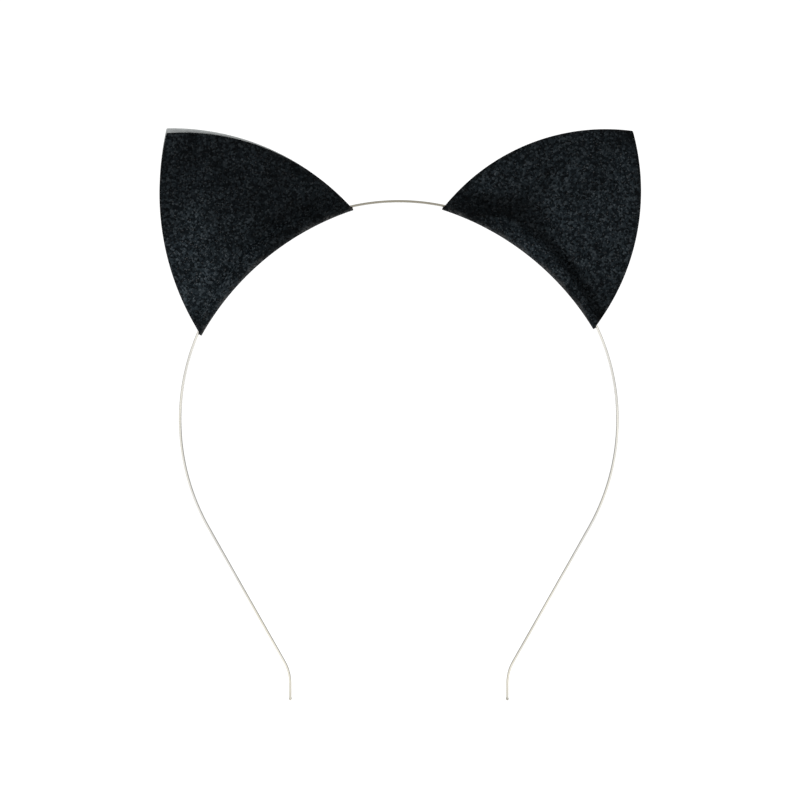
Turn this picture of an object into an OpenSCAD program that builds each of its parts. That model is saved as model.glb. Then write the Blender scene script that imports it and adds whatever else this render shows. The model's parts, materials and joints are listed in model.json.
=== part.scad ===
// Cat-ear headband: a thin flat spring band with two folded cloth ears.
// Millimetres. The origin is on the underside of the crown, where the band rests on the head,
// +Z points up and the front faces -Y. The modules draw everything about the centre of the
// band's upper arc, with angles measured from the crown, and seated() moves it to the origin.

/* [Band] */
// Radius of the upper arc, to the middle of the strip's thickness
band_r = 62.5; // [60:0.5:68]
// Width of the strip, front to back
band_w = 5; // [4:0.5:5]
// Thickness of the strip
band_t = 0.6; // [0.5:0.1:0.7]
// Angle below the horizontal where the arc runs into the straight arm
arc_drop = 29.5; // [24:0.5:34]
// Half of the gap between the two tails
tip_half_gap = 31; // [28:0.5:36]
// Radius of the bend between arm and tail
elbow_r = 13; // [6:1:14]
// Length of the straight tail
tail_l = 4.1; // [3:0.1:8]
// Radius of the rolled edge at each end
roll_r = 0.4; // [0.4:0.05:0.6]
// Angle from the crown to the upper flex line
upper_flex = 10.6; // [8:0.1:11]
// Angle from the crown to the lower flex line
lower_flex = 68.5; // [68:0.5:76]

/* [Ears] */
// Angle from the crown to the tip of an ear
tip_angle = 39; // [37:0.5:41]
// Distance from the arc's centre to the bottom corners of an ear
corner_r = 61.4; // [61:0.1:61.5]
// Distance from the arc's centre to the lowest point of the fold
fold_r = 59.8; // [59.5:0.1:60]
// Thickness of the cloth
cloth_t = 0.6; // [0.5:0.05:0.6]
// Thickness of the stiffener between the two leaves
stiffener_t = 0.5; // [0.3:0.1:0.6]
// Distance from the cut edge of a leaf to the edge of the stiffener
stiffener_inset = 2; // [1:0.5:4]
// Height of the fold, from its lowest point to where the leaves meet
fold_h = 6.8; // [6.4:0.1:7]
// Distance from the arc's centre to the line that an ear bends about
bend_r = 67.5; // [67.5:0.1:69]

/* [Left ear] */
// Distance from the arc's centre to the tip
left_tip_r = 105.5; // [100:0.1:112]
// Angle from the crown to the inner corner
left_inner_angle = 12.2; // [11.4:0.1:14]
// Angle from the crown to the outer corner
left_outer_angle = 66.9; // [64:0.1:67]
// Bulge of the inner side
left_inner_bulge = 6.8; // [4:0.1:8]
// Bulge of the outer side
left_outer_bulge = 6; // [4:0.1:8]
// How far the back leaf's tip stands above the front leaf's
left_back_rise = 1.4; // [0:0.1:2]

/* [Right ear] */
// Distance from the arc's centre to the tip
right_tip_r = 106.3; // [100:0.1:112]
// Angle from the crown to the inner corner
right_inner_angle = 11.6; // [11.4:0.1:14]
// Angle from the crown to the outer corner
right_outer_angle = 65; // [64:0.1:67]
// Bulge of the inner side
right_inner_bulge = 7.9; // [4:0.1:8]
// Bulge of the outer side
right_outer_bulge = 6.9; // [4:0.1:8]
// How far the back leaf's tip stands above the front leaf's
right_back_rise = 0; // [0:0.1:2]

/* [Hidden] */
$fn = 180;

steel = [0.66, 0.65, 0.63];
glitter_cloth = [0.09, 0.1, 0.11];
interlining = [0.72, 0.73, 0.73];
hot_melt = [0.9, 0.86, 0.72];

flex_gap = 0.02;      // between a flat strip end and the round end that turns against it
side_play = 0.1;      // between the strip's edges and the cloth
glue_play = 0.02;     // between the glue bead and what it sticks to
leaf_play = 0.01;     // between a leaf and the stiffener
skirt_gap = 0.3;      // from the bend line down to the part of the cloth that stays still
leaf_gap = 0.4;       // from the bend line up to the part that swings
fold_shoulder = 3.1;  // height at which the fold starts to narrow
fold_chamfer = 1;     // stands for the round bottom edges of the fold
seam_depth = 0.2;     // depth of the cloth where the two leaves meet above the band
bead_half_l = 24;     // half the length of the glue bead
bead_half_w = 1.2;    // half its width
arc_steps = 20;       // flats along the arm's arc
elbow_steps = 8;      // flats round its elbow
big = 200;            // larger than the whole headband

stack_t = 2 * cloth_t + stiffener_t;
fold_half_w = band_w / 2 + side_play + cloth_t;
elbow_tangent = elbow_r * tan(arc_drop / 2);
arm_l = (band_r * cos(arc_drop) - tip_half_gap) / sin(arc_drop) - elbow_tangent;
arm_points = arc_steps + elbow_steps + 3;

// An ear is [tip radius, inner angle, outer angle, inner bulge, outer bulge, back leaf's rise].
LEFT = [
    left_tip_r, left_inner_angle, left_outer_angle, left_inner_bulge, left_outer_bulge,
    left_back_rise
];
RIGHT = [
    right_tip_r, right_inner_angle, right_outer_angle, right_inner_bulge, right_outer_bulge,
    right_back_rise
];

// Angle from the crown to the ear's own axis, midway between its corners.
function lean(ear) = (ear[1] + ear[2]) / 2;
// A point of the flat pattern at a distance from the arc's centre and an angle from the crown.
function polar(r, angle) = [r * sin(angle), r * cos(angle)];
// Radius of the arc with this chord that stands this far off its chord.
function arc_radius(chord, bulge) = (chord * chord / 4 + bulge * bulge) / (2 * bulge);
// Radius of the fold's lower edge, which runs through both corners and the lowest point.
function fold_arc_r(ear) =
    let (half = (ear[2] - ear[1]) / 2)
    arc_radius(2 * corner_r * sin(half), fold_r - corner_r * cos(half));
// The fold's arc is centred on the ear's axis, this far behind the band's centre.
function fold_centre(ear) = fold_arc_r(ear) - fold_r;

// Stands a flat pattern up in the XZ plane, from y = low to y = high.
module upright(low, high) {
    translate([0, high, 0]) rotate([90, 0, 0]) linear_extrude(high - low) children();
}

// The disc whose rim runs from p to q, bulging to the left of that direction.
module side_disc(p, q, bulge, inset) {
    chord = norm(q - p);
    r = arc_radius(chord, bulge);
    inward = [q[1] - p[1], p[0] - q[0]] / chord;
    translate((p + q) / 2 + inward * (r - bulge)) circle(r - inset);
}

// The outline of one leaf: two bulging sides that meet at the tip, above the fold's arc.
// A leaf whose tip is raised is flatter along its inner side, so it shows only near the tip.
module ear_outline(ear, rise = 0, inset = 0) {
    tip = polar(ear[0], tip_angle) + [0, rise];
    difference() {
        intersection() {
            side_disc(polar(corner_r, ear[1]), tip, ear[3] - rise / 4, inset);
            side_disc(tip, polar(corner_r, ear[2]), ear[4], inset);
        }
        fold_disc(ear, inset);
    }
}

module fold_disc(ear, extra) {
    rotate(-lean(ear)) translate([0, -fold_centre(ear)]) circle(fold_arc_r(ear) + extra);
}

// Everything past a line across the ear's axis, at this distance from the arc's centre.
module beyond(ear, distance) {
    rotate(-lean(ear)) translate([-big / 2, distance]) square(big);
}

module strip_arc(from, to) {
    rotate([90, 0, 0]) rotate_extrude(start = 90 - to, angle = to - from)
        translate([band_r - band_t / 2, -band_w / 2]) square([band_t, band_w]);
}

// The round end that turns at a flex line.
module strip_round(angle) {
    p = polar(band_r, angle);
    translate([p[0], band_w / 2, p[1]]) rotate([90, 0, 0]) cylinder(h = band_w, r = band_t / 2);
}

// The angle taken up by half the strip's thickness and the clearance beyond it.
flat_end = (band_t / 2 + flex_gap) / band_r * 180 / PI;

module crown() {
    color(steel) strip_arc(-upper_flex + flat_end, upper_flex - flat_end);
}

module shoulder() {
    color(steel) {
        strip_round(upper_flex);
        strip_arc(upper_flex, lower_flex - flat_end);
    }
}

// One side of the arm's outline, this far outside its middle line: arc, straight, elbow, tail.
function arm_side(out) =
    let (
        arc_end = 90 + arc_drop,
        to_centre = [cos(arc_drop), -sin(arc_drop)] * elbow_r,
        elbow = polar(band_r, arc_end) - [sin(arc_drop), cos(arc_drop)] * arm_l + to_centre
    )
    concat(
        [for (i = [0:arc_steps])
            polar(band_r + out, lower_flex + (arc_end - lower_flex) * i / arc_steps)],
        [for (i = [elbow_steps:-1:0])
            let (turn = arc_drop * i / elbow_steps)
            elbow - [cos(turn), -sin(turn)] * (elbow_r - out)],
        [elbow - [elbow_r - out, tail_l]]
    );
function backwards(points) = [for (i = [len(points) - 1:-1:0]) points[i]];

module arm() {
    tip = (arm_side(band_t / 2)[arm_points - 1] + arm_side(-band_t / 2)[arm_points - 1]) / 2;
    color(steel) {
        strip_round(lower_flex);
        upright(-band_w / 2, band_w / 2) {
            polygon(concat(arm_side(band_t / 2), backwards(arm_side(-band_t / 2))));
            translate(tip) circle(roll_r);
        }
    }
}

// Half the fold's section, mirrored to both sides: the cloth runs under the strip and up past it.
function mirrored(half) = concat(half, [for (p = backwards(half)) [p[0], -p[1]]]);

module fold_section(ear) {
    r = fold_arc_r(ear);
    difference() {
        polygon(mirrored([
            [r, fold_half_w - fold_chamfer], [r + fold_chamfer, fold_half_w],
            [r + fold_shoulder, fold_half_w], [r + fold_h, stack_t / 2]
        ]));
        polygon(mirrored([
            [r + cloth_t, fold_half_w - fold_chamfer], [r + fold_chamfer, fold_half_w - cloth_t],
            [r + fold_shoulder, fold_half_w - cloth_t], [r + fold_h - seam_depth, stiffener_t / 2]
        ]));
    }
}

module ear_fold(ear) {
    half_turn = 30; // a little more than half of what an ear spans
    color(glitter_cloth) intersection() {
        union() {
            rotate([0, lean(ear), 0]) translate([0, 0, -fold_centre(ear)]) rotate([90, 0, 0])
                rotate_extrude(start = 90 - half_turn, angle = 2 * half_turn) fold_section(ear);
            upright(-stack_t / 2, stack_t / 2) difference() {
                ear_outline(ear);
                fold_disc(ear, fold_h - seam_depth);
                beyond(ear, bend_r - skirt_gap);
            }
        }
        upright(-fold_half_w, fold_half_w) ear_outline(ear);
    }
}

module leaf(ear, rise, low) {
    color(glitter_cloth) upright(low, low + cloth_t) intersection() {
        ear_outline(ear, rise);
        beyond(ear, bend_r + leaf_gap);
    }
}

module front_leaf(ear) {
    leaf(ear, 0, -stack_t / 2);
}

module back_leaf(ear) {
    leaf(ear, ear[5], stack_t / 2 - cloth_t);
}

module stiffener(ear) {
    half_t = stiffener_t / 2 - leaf_play;
    color(interlining) upright(-half_t, half_t) intersection() {
        ear_outline(ear, 0, stiffener_inset);
        beyond(ear, bend_r + leaf_gap);
    }
}

module glue_bead(ear) {
    color(hot_melt) upright(-bead_half_w, bead_half_w) intersection() {
        difference() {
            circle(band_r - band_t / 2 - glue_play);
            fold_disc(ear, cloth_t + glue_play);
        }
        rotate(-lean(ear)) translate([-bead_half_l, 0]) square([2 * bead_half_l, big]);
    }
}

// Moves a right-hand or middle part from the arc's centre to the origin.
module seated() {
    translate([0, 0, band_t / 2 - band_r]) children();
}

module left() {
    seated() mirror([1, 0, 0]) children();
}

seated() crown();  // crown_band
left() shoulder();  // left_shoulder_band
left() arm();  // left_arm_band
seated() shoulder();  // right_shoulder_band
seated() arm();  // right_arm_band
left() ear_fold(LEFT);  // left_ear_fold
left() front_leaf(LEFT);  // left_front_leaf
left() back_leaf(LEFT);  // left_back_leaf
left() stiffener(LEFT);  // left_stiffener
left() glue_bead(LEFT);  // left_glue_bead
seated() ear_fold(RIGHT);  // right_ear_fold
seated() front_leaf(RIGHT);  // right_front_leaf
seated() back_leaf(RIGHT);  // right_back_leaf
seated() stiffener(RIGHT);  // right_stiffener
seated() glue_bead(RIGHT);  // right_glue_bead
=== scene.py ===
import json
import math
from collections import namedtuple

import bmesh
import bpy
import numpy as np
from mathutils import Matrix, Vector


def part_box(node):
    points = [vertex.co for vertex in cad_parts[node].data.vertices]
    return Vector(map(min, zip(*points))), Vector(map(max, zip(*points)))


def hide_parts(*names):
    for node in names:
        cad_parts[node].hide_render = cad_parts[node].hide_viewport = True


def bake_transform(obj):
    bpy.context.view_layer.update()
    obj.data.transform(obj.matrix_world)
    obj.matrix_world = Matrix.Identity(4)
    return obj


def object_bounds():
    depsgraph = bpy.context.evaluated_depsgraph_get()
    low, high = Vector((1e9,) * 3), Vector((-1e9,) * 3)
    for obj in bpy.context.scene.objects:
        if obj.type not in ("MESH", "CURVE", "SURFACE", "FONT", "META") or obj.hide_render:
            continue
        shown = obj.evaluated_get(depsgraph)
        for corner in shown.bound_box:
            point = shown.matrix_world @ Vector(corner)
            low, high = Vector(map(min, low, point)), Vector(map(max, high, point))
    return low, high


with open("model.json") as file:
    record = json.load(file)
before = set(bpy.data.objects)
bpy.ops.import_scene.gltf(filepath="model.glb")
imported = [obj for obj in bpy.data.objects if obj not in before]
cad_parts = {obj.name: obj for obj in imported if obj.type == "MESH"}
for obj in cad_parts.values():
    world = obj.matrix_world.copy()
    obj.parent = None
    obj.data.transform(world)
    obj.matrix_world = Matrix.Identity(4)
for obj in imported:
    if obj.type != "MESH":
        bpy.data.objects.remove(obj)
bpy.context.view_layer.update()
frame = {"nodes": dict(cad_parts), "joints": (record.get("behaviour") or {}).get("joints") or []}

MM = 0.001
SIDES = {"left": -1, "right": 1}

# ---------------------------------------------------------------- what the frame says


def joint_place(name):
    """A joint's plan point before the arc's centre is known: (distance outward, height)."""
    place = next(j["pos_m"] for j in frame["joints"] if j["name"] == name)
    return np.array([abs(place[0]), place[2]])


def arc_centre_height():
    """The flex lines lie on the strip's middle line, whose circle is centred on x = 0."""
    upper = joint_place("right_shoulder_flex")
    lower = joint_place("right_arm_flex")
    return (lower @ lower - upper @ upper) / (2 * (lower[1] - upper[1]))


ARC_Z = arc_centre_height()
BAND_R = np.linalg.norm(joint_place("right_shoulder_flex") - [0, ARC_Z])


def plan_points(*names):
    """The vertices of CAD nodes as plan points."""
    places = [v.co for name in names for v in frame["nodes"][name].data.vertices]
    co = np.array(places)
    return np.column_stack([np.abs(co[:, 0]), co[:, 2] - ARC_Z])


def placed(side, plan, y):
    """Plan points at depths y, as points of the frame."""
    plan = np.asarray(plan, float)
    y = np.broadcast_to(y, plan.shape[:-1])
    return np.stack([SIDES[side] * plan[..., 0], y, plan[..., 1] + ARC_Z], axis=-1)


def polar(radius, angle):
    """The plan point at this distance from the arc's centre, this many radians from the crown."""
    return np.stack([radius * np.sin(angle), radius * np.cos(angle)], axis=-1)


# ---------------------------------------------------------------- sizes

arm_low, arm_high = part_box("right_arm_band")
BAND_HALF_W = arm_high.y
BAND_HALF_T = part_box("crown_band")[1].z - (BAND_R + ARC_Z)
BAND_EDGE_R = 0.22 * MM          # how round the strip's long edges are
EDGE_SHARE = 0.95                # the most of half the thickness that this rounding may take
ARC_DROP = math.radians(29.5)    # how far below the horizontal the arc runs into the arm
ELBOW_R = 13 * MM
TAIL_L = 4.1 * MM
ROLL_R = 0.4 * MM                # radius of the rolled edge at each end
ROLL_ROUND = 0.6 * MM            # how far the strip narrows round its very end, on each side
ROLL_OPEN = 0.999                # how nearly that rounding closes
THINNEST = 0.01 * MM             # half the thickness left at the very end
ROLL_START = math.radians(-80)   # the roll's first and last rings, as angles round its middle
ROLL_END = math.radians(89)
TIP_X = arm_low.x + ROLL_R
HIDDEN_CUT = math.radians(40)    # where a side's two strips meet, inside the ear's fold

CROWN_SHADE_L = 9 * MM            # how far below the crown painted shade darkens the steel
TAIL_DARKENING = 0.35                 # how much darker the tails are
TAIL_DARKENING_L = 14 * MM            # how far up that reaches
ROLL_SHADE = {"left": 0.35, "right": 0.7}    # how dark the painted shade in the rolled edges is

ARM_STEPS = 23                   # rings down the straight arm
ELBOW_STEPS = 12
TAIL_STEPS = 4
ROLL_STEPS = 12
CORNER_POINTS = 5                # round each edge of the strip's section

CLOTH_T = 0.6 * MM
FOLD_HALF_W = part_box("left_ear_fold")[1].y
LEAF_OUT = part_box("left_back_leaf")[1].y    # outer face of a leaf over the stiffener
RIM_OUT = 0.63 * MM                         # outer face at the cut edge, where the leaves meet
RIM_PINCH = 2.1 * MM                        # how far in from the edge that pinch reaches
FOOT = 3.2 * MM           # height over which the fold closes above the strip, on the inner half
FOOT_DROP = 0.5           # share of that height lost on the outer half
STRIP_ROOM = 0.25 * MM    # height above the strip at which the cloth starts to close in
WRAP_ROOM = 0.02 * MM     # radius of the fold's lower edges where the strip touches the fold
WRAP_SHARE = 0.8          # how fast that radius grows with the strip's height in the fold
STRAIGHT_FROM = 0.8       # on the way to the tip, where the cloth's thickness starts to turn
STRAIGHT_OVER = 0.15      # straight across, and over how much of the way it does so

CREST = {"left": 0.6 * MM, "right": 1.0 * MM, "back": 0.35 * MM}    # how proud a ridge stands
BACK_UP = 5 * MM                                 # how high the back ridge runs above the foot
FRONT_UP = {"left": 0.6 * MM, "right": 1.4 * MM}     # the front ridges, where they run lowest
FRONT_RISE = {"left": 2.2 * MM, "right": 5.2 * MM}   # and how much higher they come
FADE = 14 * MM            # height over which a ridge dies away above its crest
SWELL = 0.3 * MM          # how far the slack cloth of a leaf stands out
WAVE = 0.09 * MM          # how deep the waves in it are
WAVES = ((9, 5, 1), (-4, 7, 2))    # each wave's radians across and up, and share of the phase
BACK_PHASE = 2.0          # sets the back leaf's waves apart from the front one's
SIDE_FLATNESS = 0.3       # the lower this is, the nearer the tip the slack reaches

# How much glitter a leaf holds, and what each mark on it adds to that or takes from it. The front
# leaves' marks are painted light and shade: lighter or darker as light falls on the leaf, darker
# in its hollows and crease.
LEFT_GLITTER_AND_PAINTED_LIGHT = {"plain": 0.56, "bright": 0.94, "wedge_shade": -0.17, "corner": -0.8, "tip": 0.1}
RIGHT_GLITTER_AND_PAINTED_LIGHT = {
    "plain": 0.8, "bright": 0.38, "bulge": 0.48,
    "hollow_shade": -0.54, "crease": -0.62, "tip": -0.36,
}
BACK_COVER = 0.95
BACK_UNEVEN = 0.2         # how much more or less the back leaves hold in places
# Where shade is painted on the front leaves: their hollows above the fold, and the crease.
HOLLOW_DEPTH = 4.4 * MM   # how far below its foot a leaf's hollow reaches
HOLLOW_FADE = 4 * MM      # height over which it fades out, most of it above the ridge
HOLLOW_BELOW = 0.8 * MM   # the part of that below the ridge
HOLLOW_STEP = 0.16        # how much of the leaf's width the hollow's lower end rises over
CREASE_UP = 0.6 * MM      # height of the crease above the foot
CREASE_W = 1.9 * MM
DARKEST_SHARE = 0.12         # the least that a place keeps of its glitter and painted light
EDGE_THINNING = 0.35      # how much glitter is missing at a cut edge
EDGE_THINNING_W = 0.9 * MM
EDGE_WEAR = 0.4           # how scuffed a cut edge is
EDGE_WEAR_W = 0.35 * MM
FOLD_HIGHLIGHT_H = 1.3 * MM    # how high the painted highlight along the fold's lower edges is

TIP_BLUNT = 0.004      # share of a side that is cut off at the very tip
COLUMNS = 96           # across an ear
LEAF_ROWS = 72         # from the fold to the tip
WRAP_ROWS = 7          # round a lower edge of the fold
UNDER_ROWS = 4         # from the middle of the fold's underside to that edge
LADDER_STEPS = 300     # places tried for the height of a row on each column

# ---------------------------------------------------------------- smooth steps


def rise(x, start, over):
    """0 up to start and 1 from start + over, with a smooth step between them."""
    x = np.clip((x - start) / over, 0, 1)
    return x * x * (3 - 2 * x)


def fall(x, start, over):
    """1 up to start and 0 from start + over."""
    return 1 - rise(x, start, over)


def blob(s, t, at, size):
    """1 at a place (s, t) of a leaf, dying away over a size (s, t)."""
    return np.exp(-((s - at[0]) / size[0]) ** 2 - ((t - at[1]) / size[1]) ** 2)


# ---------------------------------------------------------------- node helpers


def new_material(name):
    """A material with a Principled shader, its node tree and that shader."""
    material = bpy.data.materials.new(name)
    material.use_nodes = True
    tree = material.node_tree
    shader = tree.nodes["Principled BSDF"]
    return material, tree, shader


def add(tree, kind, inputs=None, **settings):
    """A node with its settings, its inputs either values or other nodes' sockets."""
    node = tree.nodes.new(kind)
    for key, value in settings.items():
        setattr(node, key, value)
    for key, value in (inputs or {}).items():
        if isinstance(value, bpy.types.NodeSocket):
            tree.links.new(value, node.inputs[key])
        else:
            node.inputs[key].default_value = value
    return node


def ramp(tree, source, *stops):
    """A colour ramp over source; each stop is (position, grey or rgb)."""
    node = add(tree, "ShaderNodeValToRGB", {"Fac": source})
    elements = node.color_ramp.elements
    while len(elements) < len(stops):
        elements.new(0.5)
    for element, (position, colour) in zip(elements, stops):
        rgb = colour if hasattr(colour, "__len__") else (colour,) * 3
        element.position = position
        element.color = (*rgb, 1)
    return node.outputs["Color"]


def math_node(tree, operation, a, b=0.0):
    return add(tree, "ShaderNodeMath", {0: a, 1: b}, operation=operation).outputs[0]


def vector_node(tree, operation, a, b=(0, 0, 0), scale=1.0):
    inputs = {0: a, "Scale": scale} if operation == "SCALE" else {0: a, 1: b}
    return add(tree, "ShaderNodeVectorMath", inputs, operation=operation).outputs[0]


def mix_colour(tree, blend_type, factor, a, b):
    """A mix of two colours; its node has sockets for other types too, which are not enabled."""
    node = add(tree, "ShaderNodeMix", data_type="RGBA", blend_type=blend_type)
    sockets = [socket for socket in node.inputs if socket.enabled]
    for socket, value in zip(sockets, (factor, a, b)):
        if isinstance(value, bpy.types.NodeSocket):
            tree.links.new(value, socket)
        else:
            socket.default_value = value
    return next(socket for socket in node.outputs if socket.enabled)


def rest_place(tree):
    """Where a point of the piece was at rest, so that a pattern stays put when the piece bends."""
    return add(tree, "ShaderNodeAttribute", attribute_name="rest").outputs["Vector"]


def roughen(tree, shader, height, strength, distance):
    """Bump from a pattern of heights; its distance is in metres."""
    inputs = {"Height": height, "Strength": strength, "Distance": distance}
    bump = add(tree, "ShaderNodeBump", inputs)
    tree.links.new(bump.outputs["Normal"], shader.inputs["Normal"])


# ---------------------------------------------------------------- materials

# How many of a pattern's cells or clouds there are in a metre, or along each axis.
PER_METRE = {
    "flakes": 1850.0,
    "specks": 4100.0,
    "glitter_patches": 130.0,
    "bare_threads": 1500.0,
    "rubbed_and_lit_places": 260.0,
    "backing_fuzz": 900.0,
    "cut_fibres": (2500, 400, 2500),
    "brush_lines": (50, 3600, 50),
    "steel_stains": 45.0,
    "pressed_fibres": (2200, 2200, 700),
    "glue_clouds": 350.0,
}
WEAVE_PITCH = 0.45 * MM
FLAKE_TILT = 0.75

# Ramps: the place on the pattern, then the colour or the grey there.
FLAKE_TINTS = (
    (0.0, (0.0007, 0.0011, 0.0015)), (0.45, (0.0028, 0.0042, 0.0054)),
    (0.8, (0.0092, 0.0127, 0.0152)), (1.0, (0.022, 0.027, 0.0305)),
)
GLINTS = ((0.93, 0.0), (1.0, 0.025))
# grey bare cloth, also the colour of the painted highlight along the fold's lower edges
BARE_CLOTH_AND_HIGHLIGHT = (0.064, 0.063, 0.062, 1)
BACKING_TINTS = ((0.0, (0.26, 0.275, 0.275)), (1.0, (0.4, 0.415, 0.41)))
CUT_EDGE_TINTS = (
    (0.35, (0.008, 0.009, 0.01)), (0.62, (0.03, 0.03, 0.032)), (0.75, (0.12, 0.12, 0.118)),
)
STEEL_TINTS = ((0.35, (0.69, 0.675, 0.635)), (0.65, (0.73, 0.7, 0.61)))
# the darker steel's tint: painted shade below the crown and in the rolled edges, and darker tails
SHADE_AND_DARKENING_TINT = (0.385, 0.37, 0.33, 1)
INTERLINING_TINTS = ((0.3, (0.36, 0.37, 0.37)), (0.7, (0.5, 0.51, 0.5)))
GLUE_TINTS = ((0.3, (0.74, 0.69, 0.53)), (0.7, (0.86, 0.83, 0.72)))


def noise(tree, place, pattern, detail):
    """A noise pattern with its PER_METRE density; a stretched one has three numbers there."""
    density = PER_METRE[pattern]
    if isinstance(density, tuple):
        place = vector_node(tree, "MULTIPLY", place, density)
        density = 1.0
    inputs = {"Vector": place, "Scale": density, "Detail": detail}
    return add(tree, "ShaderNodeTexNoise", inputs).outputs["Fac"]


def glitter_material():
    """Black cloth coated in fine black glitter: every flake has its own tint and tilt. Its tint
    carries painted light and shade, and along the fold's lower edges a painted highlight of grey.
    """
    material, tree, shader = new_material("glitter_cloth")
    place = rest_place(tree)
    flakes = add(tree, "ShaderNodeTexVoronoi", {"Vector": place, "Scale": PER_METRE["flakes"]})
    specks = add(tree, "ShaderNodeTexVoronoi", {"Vector": place, "Scale": PER_METRE["specks"]})
    patches = noise(tree, place, "glitter_patches", detail=4.0)
    flake_rgb = add(tree, "ShaderNodeSeparateColor", {"Color": flakes.outputs["Color"]})
    speck_rgb = add(tree, "ShaderNodeSeparateColor", {"Color": specks.outputs["Color"]})
    flake_tint = ramp(tree, flake_rgb.outputs["Red"], *FLAKE_TINTS)
    glint = ramp(tree, speck_rgb.outputs["Green"], *GLINTS)
    speckled = mix_colour(tree, "ADD", 1.0, flake_tint, glint)
    patchy = ramp(tree, patches, (0.3, 0.81), (0.7, 1.4))
    # painted light and shade on the front leaves, and the glitter thinned at the cut edges
    glitter_and_painted_light = add(tree, "ShaderNodeAttribute", attribute_name="glitter_and_painted_light").outputs["Fac"]
    patchy_with_painted_light = mix_colour(tree, "MULTIPLY", 1.0, patchy, glitter_and_painted_light)
    black = mix_colour(tree, "MULTIPLY", 1.0, speckled, patchy_with_painted_light)
    # grey bare cloth: scuffed places at the cut sides, and a painted highlight along the fold's
    # lower edges
    worn_and_lit = add(tree, "ShaderNodeAttribute", attribute_name="wear_and_highlight").outputs["Fac"]
    bare = ramp(tree, noise(tree, place, "bare_threads", detail=3.0), (0.38, 0.0), (0.62, 1.0))
    places = noise(tree, place, "rubbed_and_lit_places", detail=1.0)
    in_places = ramp(tree, places, (0.42, 0.08), (0.6, 1.0))
    rubbed_and_lit = math_node(tree, "MULTIPLY", math_node(tree, "MULTIPLY", bare, worn_and_lit), in_places)
    tint = mix_colour(tree, "MIX", rubbed_and_lit, black, BARE_CLOTH_AND_HIGHLIGHT)
    tree.links.new(tint, shader.inputs["Base Color"])
    tilt = vector_node(tree, "SUBTRACT", flakes.outputs["Color"], (0.5, 0.5, 0.5))
    normal = add(tree, "ShaderNodeNewGeometry").outputs["Normal"]
    tilted = vector_node(tree, "ADD", normal, vector_node(tree, "SCALE", tilt, scale=FLAKE_TILT))
    grain = add(
        tree, "ShaderNodeBump",
        {"Height": flakes.outputs["Distance"], "Normal": vector_node(tree, "NORMALIZE", tilted),
         "Strength": 0.5, "Distance": 0.2 * MM},
        invert=True,
    )
    tree.links.new(grain.outputs["Normal"], shader.inputs["Normal"])
    rough = ramp(tree, flake_rgb.outputs["Blue"], (0.0, 0.42), (1.0, 0.75))
    tree.links.new(rough, shader.inputs["Roughness"])
    shader.inputs["Specular IOR Level"].default_value = 0.03
    return material


def weave_heights(tree, place):
    """Warp and weft of a plain weave, as a height from 0 to 1."""
    turned = add(
        tree, "ShaderNodeMapping",
        {"Vector": place, "Rotation": (0, math.radians(45), 0)},
    ).outputs["Vector"]
    axes = add(tree, "ShaderNodeSeparateXYZ", {"Vector": turned})
    per_metre = 2 * math.pi / WEAVE_PITCH
    warp = math_node(tree, "SINE", math_node(tree, "MULTIPLY", axes.outputs["X"], per_metre))
    weft = math_node(tree, "SINE", math_node(tree, "MULTIPLY", axes.outputs["Z"], per_metre))
    product = math_node(tree, "MULTIPLY", warp, weft)
    return add(
        tree, "ShaderNodeMapRange",
        {"Value": product, "From Min": -1.0, "From Max": 1.0},
    ).outputs["Result"]


def reverse_material():
    """The grey woven backing of the glitter cloth."""
    material, tree, shader = new_material("cloth_reverse")
    place = rest_place(tree)
    weave = weave_heights(tree, place)
    fuzz = noise(tree, place, "backing_fuzz", detail=6.0)
    threads = ramp(tree, weave, *BACKING_TINTS)
    mottle = ramp(tree, fuzz, (0.3, 0.85), (0.7, 1.1))
    tree.links.new(mix_colour(tree, "MULTIPLY", 1.0, threads, mottle), shader.inputs["Base Color"])
    roughen(tree, shader, math_node(tree, "ADD", weave, fuzz), strength=0.5, distance=0.08 * MM)
    shader.inputs["Roughness"].default_value = 0.9
    shader.inputs["Specular IOR Level"].default_value = 0.2
    return material


def cut_edge_material():
    """The cut edge: dark fibres with a few grey ones from the backing."""
    material, tree, shader = new_material("cloth_cut_edge")
    fibres = noise(tree, rest_place(tree), "cut_fibres", detail=4.0)
    tree.links.new(ramp(tree, fibres, *CUT_EDGE_TINTS), shader.inputs["Base Color"])
    roughen(tree, shader, fibres, strength=0.6, distance=0.1 * MM)
    shader.inputs["Roughness"].default_value = 0.9
    shader.inputs["Specular IOR Level"].default_value = 0.1
    return material


def steel_material():
    """Thin spring strip with fine lines along its length, stains, and painted shade below the
    crown and in the rolled edges, with darker tails.
    """
    material, tree, shader = new_material("spring_steel")
    place = rest_place(tree)
    lines = noise(tree, place, "brush_lines", detail=5.0)
    stains = noise(tree, place, "steel_stains", detail=3.0)
    bright = ramp(tree, stains, *STEEL_TINTS)
    brushed = ramp(tree, lines, (0.3, 0.78), (0.7, 1.05))
    polished = mix_colour(tree, "MULTIPLY", 1.0, bright, brushed)
    # painted shade below the crown and in the rolled edges, and darker tails
    shade_and_darkening = add(tree, "ShaderNodeAttribute", attribute_name="shade_and_darkening").outputs["Fac"]
    darkened = mix_colour(tree, "MULTIPLY", shade_and_darkening, polished, SHADE_AND_DARKENING_TINT)
    tree.links.new(darkened, shader.inputs["Base Color"])
    tree.links.new(ramp(tree, lines, (0.2, 0.18), (0.8, 0.34)), shader.inputs["Roughness"])
    roughen(tree, shader, lines, strength=0.25, distance=0.02 * MM)
    shader.inputs["Metallic"].default_value = 1.0
    return material


def object_place(tree):
    """Where a point of a CAD node is; the nodes ride whole, so their patterns stay put."""
    return add(tree, "ShaderNodeTexCoord").outputs["Object"]


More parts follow.
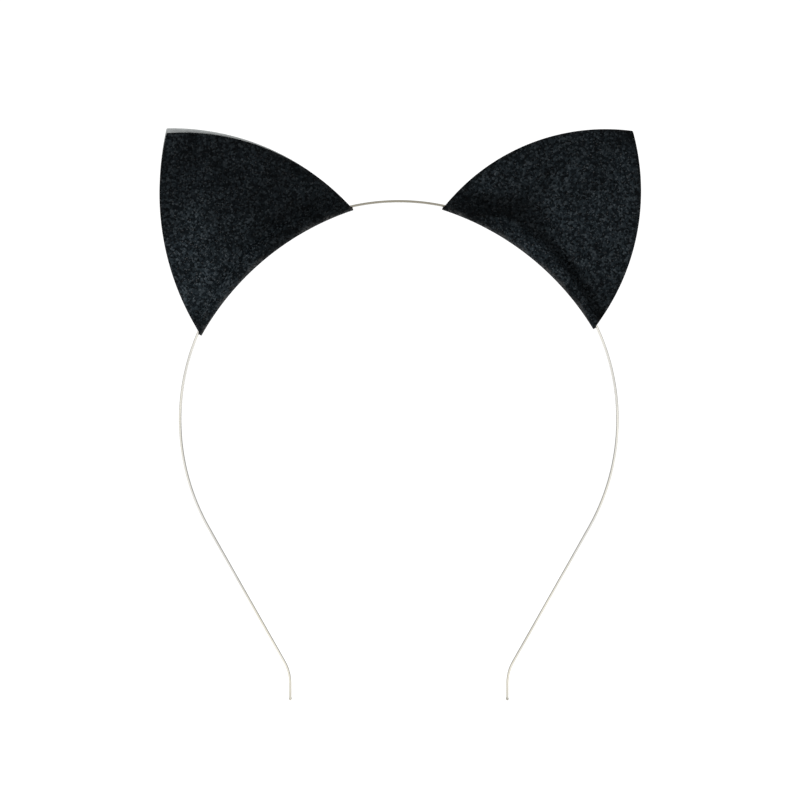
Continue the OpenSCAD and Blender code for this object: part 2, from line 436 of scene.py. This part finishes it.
def interlining_material():
    """Matt non-woven interlining: short pressed fibres."""
    material, tree, shader = new_material("interlining")
    fibres = noise(tree, object_place(tree), "pressed_fibres", detail=6.0)
    tree.links.new(ramp(tree, fibres, *INTERLINING_TINTS), shader.inputs["Base Color"])
    roughen(tree, shader, fibres, strength=0.6, distance=0.1 * MM)
    shader.inputs["Roughness"].default_value = 0.95
    return material


def glue_material():
    """Set hot-melt glue: waxy, cloudy and a little yellow."""
    material, tree, shader = new_material("hot_melt_glue")
    clouds = noise(tree, object_place(tree), "glue_clouds", detail=3.0)
    tree.links.new(ramp(tree, clouds, *GLUE_TINTS), shader.inputs["Base Color"])
    roughen(tree, shader, clouds, strength=0.4, distance=0.2 * MM)
    shader.inputs["Roughness"].default_value = 0.35
    return material


# ---------------------------------------------------------------- mesh helpers


def mesh_piece(name, bm, materials):
    """A smooth-shaded object from a closed bmesh, with its rest places stored for the patterns."""
    bmesh.ops.recalc_face_normals(bm, faces=bm.faces)
    for face in bm.faces:
        face.smooth = True
    mesh = bpy.data.meshes.new(name)
    bm.to_mesh(mesh)
    bm.free()
    places = np.array([v.co for v in mesh.vertices], np.float32)
    rest = mesh.attributes.new("rest", "FLOAT_VECTOR", "POINT")
    rest.data.foreach_set("vector", places.ravel())
    for material in materials:
        mesh.materials.append(material)
    piece = bpy.data.objects.new(name, mesh)
    bpy.context.scene.collection.objects.link(piece)
    return piece


def paint(piece, name, values):
    """Stores a number for each vertex, for the materials to read."""
    attribute = piece.data.attributes.new(name, "FLOAT", "POINT")
    attribute.data.foreach_set("value", np.asarray(values, np.float32))


def bridge(bm, ring_a, ring_b, closed, material=0):
    """Quads between two rows of vertices of the same length."""
    count = len(ring_a)
    faces = []
    for i in range(count if closed else count - 1):
        j = (i + 1) % count
        face = bm.faces.new((ring_a[i], ring_a[j], ring_b[j], ring_b[i]))
        face.material_index = material
        faces.append(face)
    return faces


# ---------------------------------------------------------------- the band


def strip_route(start, end):
    """Places along the strip's middle line in plan and the outward direction at each, from one
    angle of the upper arc to another."""
    steps = max(2, round(math.degrees(end - start)))
    angles = np.linspace(start, end, steps + 1)
    return polar(BAND_R, angles), polar(1.0, angles)


def arm_route():
    """From the hidden cut round the arc, down the straight arm, round the elbow, down the tail."""
    arc_end = math.pi / 2 + ARC_DROP
    places, outward = strip_route(HIDDEN_CUT, arc_end)
    elbow_tangent = ELBOW_R * math.tan(ARC_DROP / 2)
    arm_l = (BAND_R * math.cos(ARC_DROP) - TIP_X) / math.sin(ARC_DROP) - elbow_tangent
    down = np.array([-math.sin(ARC_DROP), -math.cos(ARC_DROP)])
    out = np.array([math.cos(ARC_DROP), -math.sin(ARC_DROP)])
    along = np.linspace(0, arm_l, ARM_STEPS + 1)[1:, None]
    arm = places[-1] + along * down
    turns = np.linspace(ARC_DROP, 0, ELBOW_STEPS + 1)[1:, None]
    elbow_out = np.hstack([np.cos(turns), -np.sin(turns)])
    elbow = arm[-1] + ELBOW_R * (out - elbow_out)
    drop = np.concatenate([
        np.linspace(0, TAIL_L - ROLL_R, TAIL_STEPS + 1)[1:],
        TAIL_L + ROLL_R * np.sin(np.linspace(ROLL_START, ROLL_END, ROLL_STEPS)),
    ])
    tail = elbow[-1] - np.outer(drop, [0, 1])
    straight = np.tile(out, (len(arm), 1))
    tail_out = np.tile([1.0, 0.0], (len(tail), 1))
    return (
        np.vstack([places, arm, elbow, tail]),
        np.vstack([outward, straight, elbow_out, tail_out]),
    )


def strip_section(half_w, half_t):
    """Depths and outward offsets round a section with rounded edges."""
    edge = min(BAND_EDGE_R, half_t * EDGE_SHARE)
    corner = np.linspace(0, math.pi / 2, CORNER_POINTS)
    points = []
    for quarter, (sy, st) in enumerate([(1, 1), (-1, 1), (-1, -1), (1, -1)]):
        turn = corner + quarter * math.pi / 2
        points.append(np.column_stack([
            sy * (half_w - edge) + edge * np.cos(turn),
            st * (half_t - edge) + edge * np.sin(turn),
        ]))
    return np.vstack(points)


def strip_piece(name, side, places, outward, half_ts, half_ws, material):
    """Sweeps the strip's section along a route."""
    bm = bmesh.new()
    rings = []
    for place, out, half_t, half_w in zip(places, outward, half_ts, half_ws):
        section = strip_section(half_w, half_t)
        ring = placed(side, place + section[:, 1:] * out, section[:, 0])
        rings.append([bm.verts.new(p) for p in ring])
    for a, b in zip(rings, rings[1:]):
        bridge(bm, a, b, closed=True)
    for cap in (bm.faces.new(rings[0]), bm.faces.new(rings[-1])):
        for edge in cap.edges:
            edge.smooth = False
    piece = mesh_piece(name, bm, [material])
    height = np.array([v.co.z for v in piece.data.vertices])
    above_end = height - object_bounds()[0].z
    # painted shade below the crown and in the rolled edges; the tails darker towards their ends
    on_crown = rise(height, -CROWN_SHADE_L, CROWN_SHADE_L)
    on_tail = TAIL_DARKENING * fall(above_end, 0, TAIL_DARKENING_L)
    on_roll = ROLL_SHADE[side] * fall(above_end, ROLL_R, 2 * ROLL_R)
    paint(piece, "shade_and_darkening", np.maximum.reduce([on_crown, on_tail, on_roll]))
    return piece


def crown_strip(side, material):
    """Half of the crown and the stretch inside the ear's fold."""
    places, outward = strip_route(0, HIDDEN_CUT)
    flat = np.full(len(places), BAND_HALF_T)
    wide = np.full(len(places), BAND_HALF_W)
    piece = strip_piece(f"{side}_crown_strip", side, places, outward, flat, wide, material)
    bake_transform(piece)
    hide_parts("crown_band", f"{side}_shoulder_band")
    return piece


def arm_strip(side, material):
    """From inside the ear's fold to the rolled edge at the tip."""
    places, outward = arm_route()
    height = places[:, 1]
    roll_height = height[-1] + ROLL_R * math.sin(ROLL_END)
    above_roll = np.clip((height - roll_height) / ROLL_R, -1, 1)
    roll_half_ts = ROLL_R * np.sqrt(1 - above_roll**2)
    half_ts = np.where(above_roll < 0, roll_half_ts, np.maximum(BAND_HALF_T, roll_half_ts))
    half_ts = np.maximum(half_ts, THINNEST)
    past_roll = np.clip(-above_roll, 0, 1)
    half_ws = BAND_HALF_W - ROLL_ROUND * (1 - np.sqrt(1 - ROLL_OPEN * past_roll**2))
    piece = strip_piece(f"{side}_arm_strip", side, places, outward, half_ts, half_ws, material)
    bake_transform(piece)
    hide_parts(f"{side}_arm_band")
    return piece


# ---------------------------------------------------------------- the ears


def arc_point(p, q, bulge, t):
    """Points at fractions t of the arc from p to q that stands bulge to the left of its chord."""
    half = np.linalg.norm(q - p) / 2
    along = (q - p) / (2 * half)
    left = np.array([-along[1], along[0]])
    radius = (half**2 + bulge**2) / (2 * bulge)
    angle = (2 * np.asarray(t, float)[..., None] - 1) * math.asin(half / radius)
    centre = (p + q) / 2 + left * (bulge - radius)
    return centre + radius * (np.sin(angle) * along + np.cos(angle) * left)


def bulge_of(points, p, q):
    """How far the outermost of these points stands to the left of the line from p to q."""
    along = (q - p) / np.linalg.norm(q - p)
    return ((points - p) @ np.array([-along[1], along[0]])).max()


class Ear:
    """An ear's outline in plan, measured on its CAD nodes."""

    def __init__(self, side):
        fold = plan_points(f"{side}_ear_fold")
        self.side = side
        self.inner = fold[fold[:, 0].argmin()]
        self.outer = fold[fold[:, 1].argmin()]
        middle = (self.inner + self.outer) / 2
        self.lean = math.atan2(middle[0], middle[1])
        self.fold_bulge = np.linalg.norm(fold, axis=1).min() - np.linalg.norm(middle)
        half = np.linalg.norm(self.outer - self.inner) / 2
        self.fold_arc_r = (half**2 + self.fold_bulge**2) / (2 * self.fold_bulge)
        fold_r = np.linalg.norm(middle) + self.fold_bulge
        self.fold_centre = polar(fold_r - self.fold_arc_r, self.lean)
        self.sides = {}
        for leaf in ("front", "back"):
            points = np.vstack([fold, plan_points(f"{side}_{leaf}_leaf")])
            tip = points[np.linalg.norm(points, axis=1).argmax()]
            self.sides[leaf] = (
                tip,
                bulge_of(points, self.inner, tip),
                bulge_of(points, tip, self.outer),
            )

    def place(self, leaf, s, t):
        """The plan point s of the way from the inner side to the outer one and t of the way from
        the fold to the tip."""
        tip, inner_bulge, outer_bulge = self.sides[leaf]
        s = np.asarray(s, float)[..., None]
        t = np.asarray(t, float) * (1 - TIP_BLUNT)
        inner = arc_point(self.inner, tip, inner_bulge, t)
        outer = arc_point(tip, self.outer, outer_bulge, 1 - t)
        chord = (1 - s) * self.inner + s * self.outer
        fold = arc_point(self.inner, self.outer, self.fold_bulge, s[..., 0])
        return (1 - s) * inner + s * outer + (fold - chord) * (1 - t[..., None])

    def height(self, plan):
        """How far plan points are above the fold's lower edge."""
        return np.linalg.norm(plan - self.fold_centre, axis=-1) - self.fold_arc_r

    def strip_height(self, plan):
        """How far the strip's middle line is above the fold's lower edge, below these points."""
        ray = plan - self.fold_centre
        ray = ray / np.linalg.norm(ray, axis=-1, keepdims=True)
        along = ray @ self.fold_centre
        reach = np.sqrt(along**2 - self.fold_centre @ self.fold_centre + BAND_R**2) - along
        return reach - self.fold_arc_r


def wrap_radius(strip_height):
    """Radius of the fold's lower edges, which lets the strip's corners fit inside the cloth."""
    return WRAP_ROOM + WRAP_SHARE * strip_height


def ridge(ear, leaf, s):
    """How far a leaf's ridge stands proud and how high it runs above the foot of the fold."""
    if leaf == "back":
        return CREST["back"] * np.sin(np.pi * s) ** 2, np.full_like(s, BACK_UP)
    if ear.side == "left":
        along_crest = rise(s, 0, 0.15) * fall(s, 0.45, 0.3)
        along_rise = rise(s, 0, 0.35)
    else:
        along_crest = rise(s, 0, 0.2) * fall(s, 0.75, 0.22)
        along_rise = rise(s, 0, 0.4) * fall(s, 0.48, 0.12)
    return CREST[ear.side] * along_crest, FRONT_UP[ear.side] + FRONT_RISE[ear.side] * along_rise


def leaf_relief(ear, leaf, above_foot, s, t):
    """How far the leaf stands proud of its flat place: a ridge above the fold's foot, and the
    slack of cloth that is held only at its edges."""
    crest, up = ridge(ear, leaf, s)
    on_ridge = rise(above_foot, 0, up) * fall(above_foot, up, FADE)
    off_sides = np.sin(np.pi * s) * np.clip(1 - t, 0, 1) ** SIDE_FLATNESS
    phase = SIDES[ear.side] + (BACK_PHASE if leaf == "back" else 0)
    waves = np.prod([np.sin(a * s + b * t + c * phase) for a, b, c in WAVES], axis=0)
    slack = SWELL * np.sin(np.pi * t) + WAVE * waves
    return crest * on_ridge + slack * off_sides


def foot(s):
    """How far above the strip the two leaves have closed up: sooner on the outer half."""
    return FOOT * (1 - FOOT_DROP * rise(s, 0.5, 0.4))


def above_the_foot(ear, plan, s):
    """Height of plan points above the line where the leaves have closed up."""
    return ear.height(plan) - ear.strip_height(plan) - BAND_HALF_T - foot(s)


def leaf_depths(ear, leaf, plan, s, t):
    """Distance of the leaf's outer face from the middle plane."""
    above_foot = above_the_foot(ear, plan, s)
    closing = foot(s) - STRIP_ROOM
    narrowing = rise(above_foot, -closing, closing)
    off_edge = rise(distance_to_edge(ear, leaf, s, t), 0, RIM_PINCH)
    flat = RIM_OUT + (LEAF_OUT - RIM_OUT + leaf_relief(ear, leaf, above_foot, s, t)) * off_edge
    return FOLD_HALF_W + (flat - FOLD_HALF_W) * narrowing


def distance_to_edge(ear, leaf, s, t):
    """How far a place on a leaf is from the nearer of its two cut sides."""
    row = np.linalg.norm(ear.place(leaf, 1.0, t) - ear.place(leaf, 0.0, t), axis=-1)
    return np.minimum(s, 1 - s) * row


def hollow(above_foot, up, s, until):
    """1 in a leaf's hollow, where shade is painted, 0 off it. As far out as until it starts well
    below the leaf's foot, and past that at the foot."""
    sunk = above_foot + HOLLOW_DEPTH * fall(s, until, HOLLOW_STEP)
    return rise(sunk, -MM, MM) * fall(above_foot, up - HOLLOW_BELOW, HOLLOW_FADE)


def left_marks(above_foot, up, s, t):
    """Where each mark of the left front leaf is: 1 on it, 0 off it. All are painted: light on the
    outer lower part and at the tip, shade in the hollow above the fold on the inner half and at
    the outer lower corner.
    """
    inner = fall(s, 0.25, 0.35) * (0.6 + 0.4 * rise(s, 0, 0.15))
    return {
        "bright": rise(s, 0.3, 0.6) * fall(t, 0.25, 0.6),
        "wedge_shade": hollow(above_foot, up, s, 0.34) * inner,
        "corner": blob(s, t, (0.97, 0.03), (0.06, 0.07)),
        "tip": rise(t, 0.7, 0.3),
    }


def right_marks(above_foot, up, s, t):
    """Where each mark of the right front leaf is. The crease runs on from the inner hollow, and
    the bulge is below both. All are painted: light on the outer middle and on the bulge, shade in
    the hollow, in the crease and at the tip."""
    inner = fall(s, 0.4, 0.16) * (0.5 + 0.5 * rise(s, 0, 0.16))
    on_crease = np.exp(-((above_foot - CREASE_UP) / CREASE_W) ** 2)
    on_bulge = np.exp(-((s - 0.5) / 0.17) ** 2)
    return {
        "bright": blob(s, t, (0.7, 0.35), (0.4, 0.3)),
        "bulge": fall(above_foot, -2 * MM, MM) * on_bulge,
        "hollow_shade": hollow(above_foot, up, s, 0.14) * inner,
        "crease": on_crease * rise(s, 0.42, 0.12),
        "tip": rise(t, 0.78, 0.2),
    }


def glitter_with_painted_light(ear, leaf, row):
    """How much glitter a row's places still hold, less at the cut edges than elsewhere, and on the
    front leaves the painted light and shade of their marks.
    """
    from_edge = distance_to_edge(ear, leaf, row.s, row.t)
    edge = EDGE_THINNING * np.exp(-from_edge / EDGE_THINNING_W)
    if leaf == "back":
        uneven = np.sin(5 * row.s + 2) * np.sin(4 * row.t + 1)
        return BACK_COVER + BACK_UNEVEN * uneven - edge
    above_foot = above_the_foot(ear, row.plan, row.s)
    up = ridge(ear, leaf, row.s)[1]
    weights, marks = (LEFT_GLITTER_AND_PAINTED_LIGHT, left_marks) if ear.side == "left" else (RIGHT_GLITTER_AND_PAINTED_LIGHT, right_marks)
    glitter_and_painted_light = weights["plain"] - edge
    for mark, place in marks(above_foot, up, row.s, row.t).items():
        glitter_and_painted_light = glitter_and_painted_light + weights[mark] * place
    return np.maximum(glitter_and_painted_light, DARKEST_SHARE)


def wear_and_highlight(ear, leaf, row):
    """How much grey bare cloth a row's places show: a painted highlight along the fold's lower
    edges and, less, scuffed cut sides.
    """
    on_edge = rise(row.depth / FOLD_HALF_W, 0.35, 0.5)
    low = fall(ear.height(row.plan), 0, FOLD_HIGHLIGHT_H) * on_edge
    side = EDGE_WEAR * np.exp(-distance_to_edge(ear, leaf, row.s, row.t) / EDGE_WEAR_W)
    return np.maximum(low, side)


Row = namedtuple("Row", "plan depth s t")    # plan points, their depths, and where on the leaf


def half_blank(ear, leaf):
    """Rows over one half of the blank, from the middle of the underside of the fold up to the
    tip."""
    s = np.linspace(0, 1, COLUMNS + 1)
    t = np.zeros_like(s)
    under = ear.place(leaf, s, t)
    radius = wrap_radius(ear.strip_height(under))
    flat_half = FOLD_HALF_W - radius
    rows = [Row(under, flat_half * k / UNDER_ROWS, s, t) for k in range(UNDER_ROWS)]
    ladder = np.linspace(0, 1, LADDER_STEPS)
    heights = ear.height(ear.place(leaf, *np.meshgrid(s, ladder)))
    for turn in np.linspace(0, math.pi / 2, WRAP_ROWS + 1):
        up = radius * (1 - math.cos(turn))
        t = np.array([np.interp(u, heights[:, i], ladder) for i, u in enumerate(up)])
        rows.append(Row(ear.place(leaf, s, t), flat_half + radius * math.sin(turn), s, t))
    wrapped = t
    for k in range(1, LEAF_ROWS + 1):
        t = wrapped + (1 - wrapped) * k / LEAF_ROWS
        plan = ear.place(leaf, s, t)
        rows.append(Row(plan, leaf_depths(ear, leaf, plan, s, t), s, t))
    return rows


def inward(points, t):
    """Unit directions in through the cloth: square to its outer face, turning straight across
    towards the tip, where the cut sides come together."""
    normals = np.cross(np.gradient(points, axis=0), np.gradient(points, axis=1))
    normals /= np.linalg.norm(normals, axis=2, keepdims=True)
    if normals[0, COLUMNS // 2, 1] < 0:
        normals = -normals
    normals[..., ::2] *= fall(t[..., None], STRAIGHT_FROM, STRAIGHT_OVER)
    return normals / np.linalg.norm(normals, axis=2, keepdims=True)


def rim(bm, outer_rows, inner_rows):
    """Closes the shell along its cut edges, with sharp corners where the faces' materials meet."""
    loop = (
        [(0, j) for j in range(COLUMNS)]
        + [(i, COLUMNS) for i in range(len(outer_rows) - 1)]
        + [(len(outer_rows) - 1, j) for j in range(COLUMNS, 0, -1)]
        + [(i, 0) for i in range(len(outer_rows) - 1, 0, -1)]
    )
    outer_loop = [outer_rows[i][j] for i, j in loop]
    inner_loop = [inner_rows[i][j] for i, j in loop]
    faces = bridge(bm, outer_loop, inner_loop, closed=True, material=2)
    for face in faces:
        for edge in face.edges:
            if len({f.material_index for f in edge.link_faces}) > 1:
                edge.smooth = False


def ear_cloth(side, materials):
    """One blank of cloth, from the front tip down, under the strip and up to the back tip."""
    ear = Ear(side)
    front_rows = [("front", row) for row in half_blank(ear, "front")]
    back_rows = [("back", row) for row in half_blank(ear, "back")]
    rows = front_rows[::-1] + back_rows[1:]
    y_sign = {"front": -1, "back": 1}
    outer = np.array([placed(side, row.plan, y_sign[leaf] * row.depth) for leaf, row in rows])
    inner = outer + CLOTH_T * inward(outer, np.array([row.t for leaf, row in rows]))
    bm = bmesh.new()
    outer_rows = [[bm.verts.new(p) for p in row] for row in outer]
    inner_rows = [[bm.verts.new(p) for p in row] for row in inner]
    for a, b in zip(outer_rows, outer_rows[1:]):
        bridge(bm, a, b, closed=False, material=0)
    for a, b in zip(inner_rows, inner_rows[1:]):
        bridge(bm, a, b, closed=False, material=1)
    rim(bm, outer_rows, inner_rows)
    area = sum(f.calc_area() for f in bm.faces if f.material_index == 0)
    piece = mesh_piece(f"{side}_ear_cloth", bm, materials)
    # painted light and shade with the glitter, and a painted highlight with the grey bare cloth
    for name, function in (("glitter_and_painted_light", glitter_with_painted_light), ("wear_and_highlight", wear_and_highlight)):
        one_face = np.concatenate([function(ear, leaf, row) for leaf, row in rows])
        paint(piece, name, np.concatenate([one_face, one_face]))
    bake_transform(piece)
    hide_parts(*(f"{side}_{node}" for node in ("ear_fold", "front_leaf", "back_leaf")))


# ---------------------------------------------------------------- build


def build():
    """Both sides' strips and cloth, and the looks of the CAD's own stiffeners and glue beads."""
    steel = steel_material()
    cloth = [glitter_material(), reverse_material(), cut_edge_material()]
    interlining = interlining_material()
    glue = glue_material()
    for side in SIDES:
        crown_strip(side, steel)
        arm_strip(side, steel)
        ear_cloth(side, cloth)
        for node, material in (("stiffener", interlining), ("glue_bead", glue)):
            mesh = frame["nodes"][f"{side}_{node}"].data
            mesh.materials.clear()
            mesh.materials.append(material)


# ---------------------------------------------------------------- stage, lights and camera

FLOOR_GAP = 0.2 * MM          # how far the floor is below the tips
FLOOR_HALF = 6                # metres
FLOOR_GREY = (0.3, 0.3, 0.3, 1)
FLOOR_GLOW = 0.82
WHITE = (1, 1, 1, 1)

FRONT_GLOW = 1.4              # how bright the surround is straight in front of the headband
ROUND_GLOW = 0.34             # and elsewhere round it
FRONT_UNTIL = -0.45           # how far round that front reaches, as the direction's Y
OVERHEAD_GLOW = 0.5           # added straight above
SEEN_GLOW = 1.1               # the least that the camera sees
LIGHT_SIZE = 0.8
LIGHTS = {"key": ((-1.2, -0.8, 1.3), 22), "back": ((0.6, 1.6, 1.0), 12)}    # place and watts

LENS = 300                    # millimetres, as is the sensor
SENSOR_W = 36
VIEW_W = 228.7 * MM           # how much of the headband's plane the picture's width takes in
CAMERA_X = 0.34 * MM
CAMERA_Z = -56.5 * MM
FAR_END = 20                  # metres


def add_floor():
    """A plain pale floor just under the tips."""
    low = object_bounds()[0]
    bm = bmesh.new()
    bmesh.ops.create_grid(bm, x_segments=4, y_segments=4, size=FLOOR_HALF)
    bmesh.ops.translate(bm, verts=bm.verts, vec=(0, 0, low.z - FLOOR_GAP))
    mesh = bpy.data.meshes.new("floor")
    bm.to_mesh(mesh)
    bm.free()
    material, _, shader = new_material("floor")
    shader.inputs["Base Color"].default_value = FLOOR_GREY
    shader.inputs["Emission Color"].default_value = WHITE
    shader.inputs["Emission Strength"].default_value = FLOOR_GLOW
    shader.inputs["Roughness"].default_value = 0.9
    shader.inputs["Specular IOR Level"].default_value = 0.1
    mesh.materials.append(material)
    floor = bpy.data.objects.new("floor", mesh)
    bpy.context.scene.collection.objects.link(floor)


def add_light(name, place, power):
    """A square soft light aimed at the crown, with no glare of it in the steel."""
    data = bpy.data.lights.new(name, "AREA")
    data.size = LIGHT_SIZE
    data.energy = power
    light = bpy.data.objects.new(name, data)
    light.location = place
    light.visible_glossy = False
    light.rotation_mode = "QUATERNION"
    light.rotation_quaternion = (-Vector(place)).to_track_quat("-Z", "Y")
    bpy.context.scene.collection.objects.link(light)


def add_surround():
    """A soft surround, brightest in front and above, which the camera sees as plain white."""
    world = bpy.data.worlds.new("studio")
    world.use_nodes = True
    tree = world.node_tree
    background = tree.nodes["Background"]
    direction = add(tree, "ShaderNodeTexCoord").outputs["Generated"]
    axes = add(tree, "ShaderNodeSeparateXYZ", {"Vector": direction}).outputs
    round_about = add(
        tree, "ShaderNodeMapRange",
        {"Value": axes["Y"], "From Min": -1.0, "From Max": FRONT_UNTIL,
         "To Min": FRONT_GLOW, "To Max": ROUND_GLOW},
        interpolation_type="SMOOTHSTEP",
    ).outputs["Result"]
    overhead = math_node(tree, "MULTIPLY", axes["Z"], OVERHEAD_GLOW)
    glow = math_node(tree, "ADD", round_about, math_node(tree, "MAXIMUM", overhead, 0.0))
    seen = add(tree, "ShaderNodeLightPath").outputs["Is Camera Ray"]
    least = math_node(tree, "MULTIPLY", seen, SEEN_GLOW)
    strength = math_node(tree, "MAXIMUM", glow, least)
    tree.links.new(strength, background.inputs["Strength"])
    background.inputs["Color"].default_value = WHITE
    bpy.context.scene.world = world


def add_camera():
    """A long lens from straight in front, level with the middle of the headband."""
    data = bpy.data.cameras.new("camera")
    data.lens = LENS
    data.sensor_width = SENSOR_W
    data.clip_end = FAR_END
    camera = bpy.data.objects.new("camera", data)
    camera.location = (CAMERA_X, -VIEW_W * LENS / SENSOR_W, CAMERA_Z)
    camera.rotation_euler = (math.pi / 2, 0, 0)
    bpy.context.scene.collection.objects.link(camera)
    bpy.context.scene.camera = camera


build()
add_floor()
add_surround()
for light, (light_place, watts) in LIGHTS.items():
    add_light(light, light_place, watts)
add_camera()
bpy.context.scene.view_settings.view_transform = "Standard"
